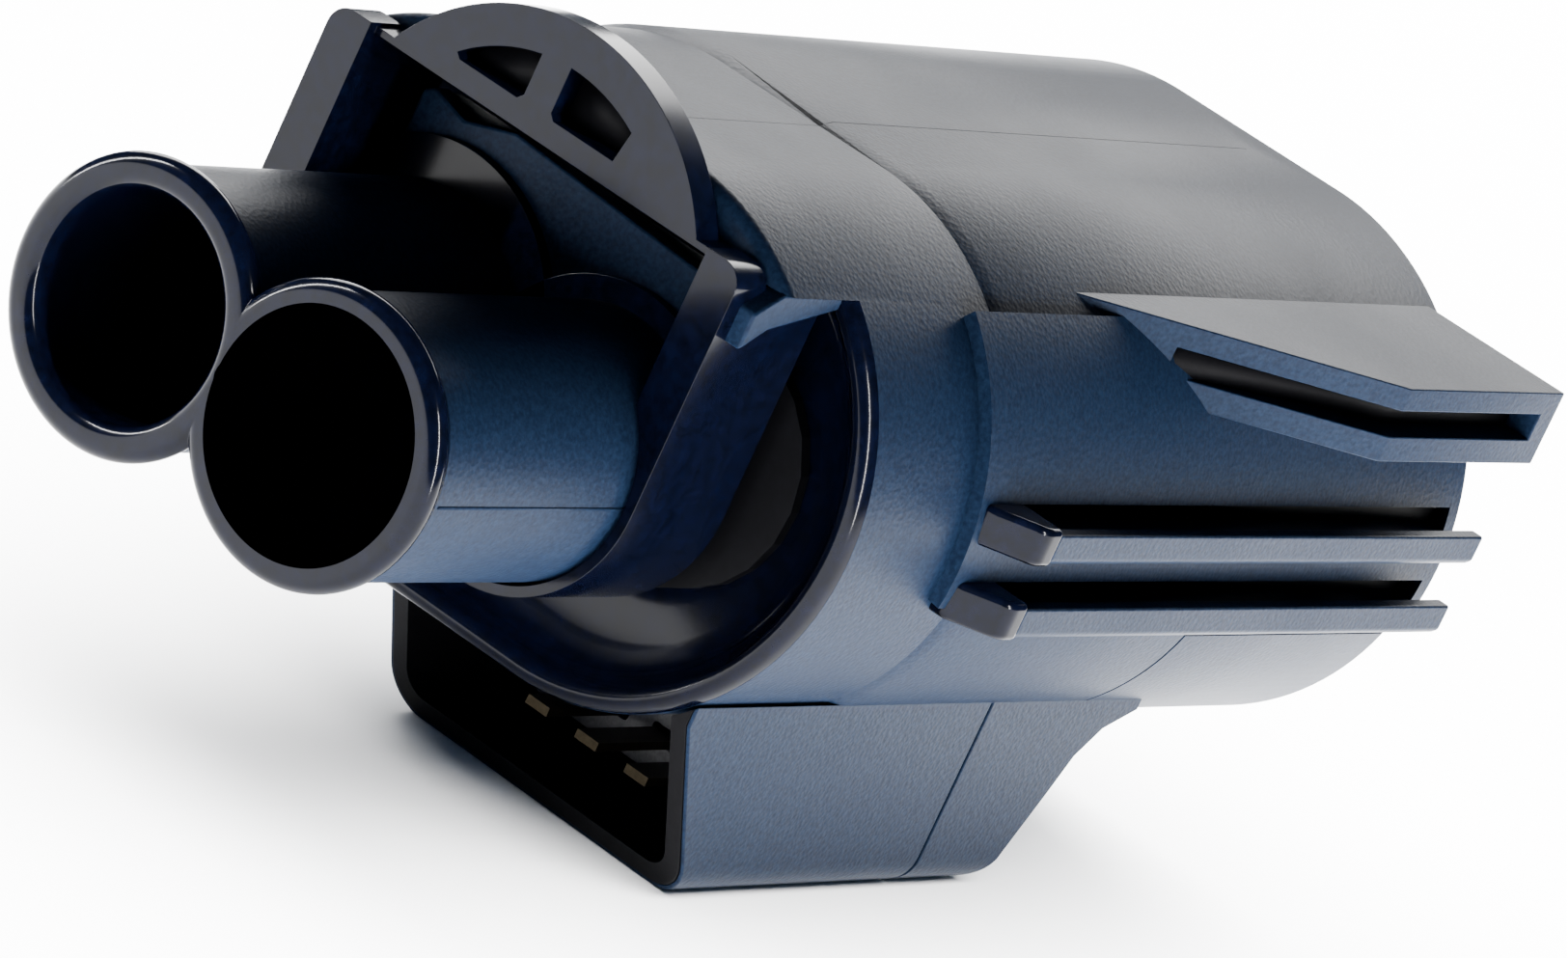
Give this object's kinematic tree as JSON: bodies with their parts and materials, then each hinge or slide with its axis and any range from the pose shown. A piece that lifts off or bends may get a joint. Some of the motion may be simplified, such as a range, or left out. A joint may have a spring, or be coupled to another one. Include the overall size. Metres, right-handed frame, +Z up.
{
  "type": "air pump",
  "caption": "Compact motor-driven air pump with a grained obround body, twin hose spigots, a hooded front head, a connector box beneath and side guide rails.",
  "frame": {"origin": "under the middle of the bounding box, level with the connector box's flat underside", "axes": "+Y from the spigot rims to the back, +X to the side with the guide rails, +Z up"},
  "size_m": [0.0702, 0.13, 0.0635],
  "materials": {
    "gloss_black": "moulded, semi-gloss",
    "grain_black": "moulded with a fine grain",
    "inner_black": "moulded, plain",
    "rubber": "matte elastomer",
    "steel": "ground",
    "plated_steel": "drawn and plated",
    "lamination": "stacked sheets",
    "copper": "enamelled wire",
    "magnet": "sintered, dull",
    "nylon": "moulded, natural",
    "terminal_resin": "glass-filled resin",
    "terminal_brass": "rolled blade",
    "board": "solder mask",
    "component": "moulded component",
    "foam": "open-cell foam",
    "lead_red": "insulated wire",
    "lead_black": "insulated wire",
    "lead_blue": "insulated wire"
  },
  "bodies": {
    "pump_body": {"twin_port_block": "gloss_black", "front_head": "gloss_black", "port_gasket": "rubber", "front_shell": "grain_black", "rear_shell": "grain_black", "tail_cover": "grain_black", "rear_cap": "grain_black", "cap_screw_1": "steel", "cap_screw_2": "steel", "cap_screw_3": "steel", "cap_screw_4": "steel", "connector_housing": "grain_black", "harness_cover": "grain_black", "terminal_block": "terminal_resin", "terminal_pin_1": "terminal_brass", "terminal_pin_2": "terminal_brass", "terminal_pin_3": "terminal_brass", "lead_1": "lead_red", "lead_2": "lead_black", "lead_3": "lead_blue", "control_board": "board", "capacitor": "component", "driver_chip": "component", "inlet_filter": "foam", "filter_retainer": "inner_black", "motor_bulkhead": "inner_black", "front_grommet": "rubber", "rear_grommet": "rubber", "motor_can": "plated_steel", "motor_end_plate": "plated_steel", "front_bearing": "steel", "rear_bearing": "steel", "stator_core": "lamination", "winding_1": "copper", "winding_2": "copper", "winding_3": "copper", "winding_4": "copper", "winding_5": "copper", "winding_6": "copper", "volute_cover": "inner_black", "volute_housing": "inner_black", "outlet_duct": "inner_black", "valve_body": "inner_black", "valve_pin": "steel"},
    "rotor": {"rotor_magnet": "magnet", "shaft": "steel", "impeller": "nylon"},
    "outlet_flap": {"valve_flap": "rubber"}
  },
  "joints": [
    {"name": "rotor_spin", "type": "hinge", "parent": "pump_body", "child": "rotor", "pos_m": [-0.01355, 0.023, 0.0349], "axis": [0, 1, 0], "continuous": true},
    {"name": "flap_swing", "type": "hinge", "parent": "pump_body", "child": "outlet_flap", "pos_m": [0.00715, -0.0118, 0.0406], "axis": [-1, 0, 0], "range_deg": [0, 50]}
  ]
}
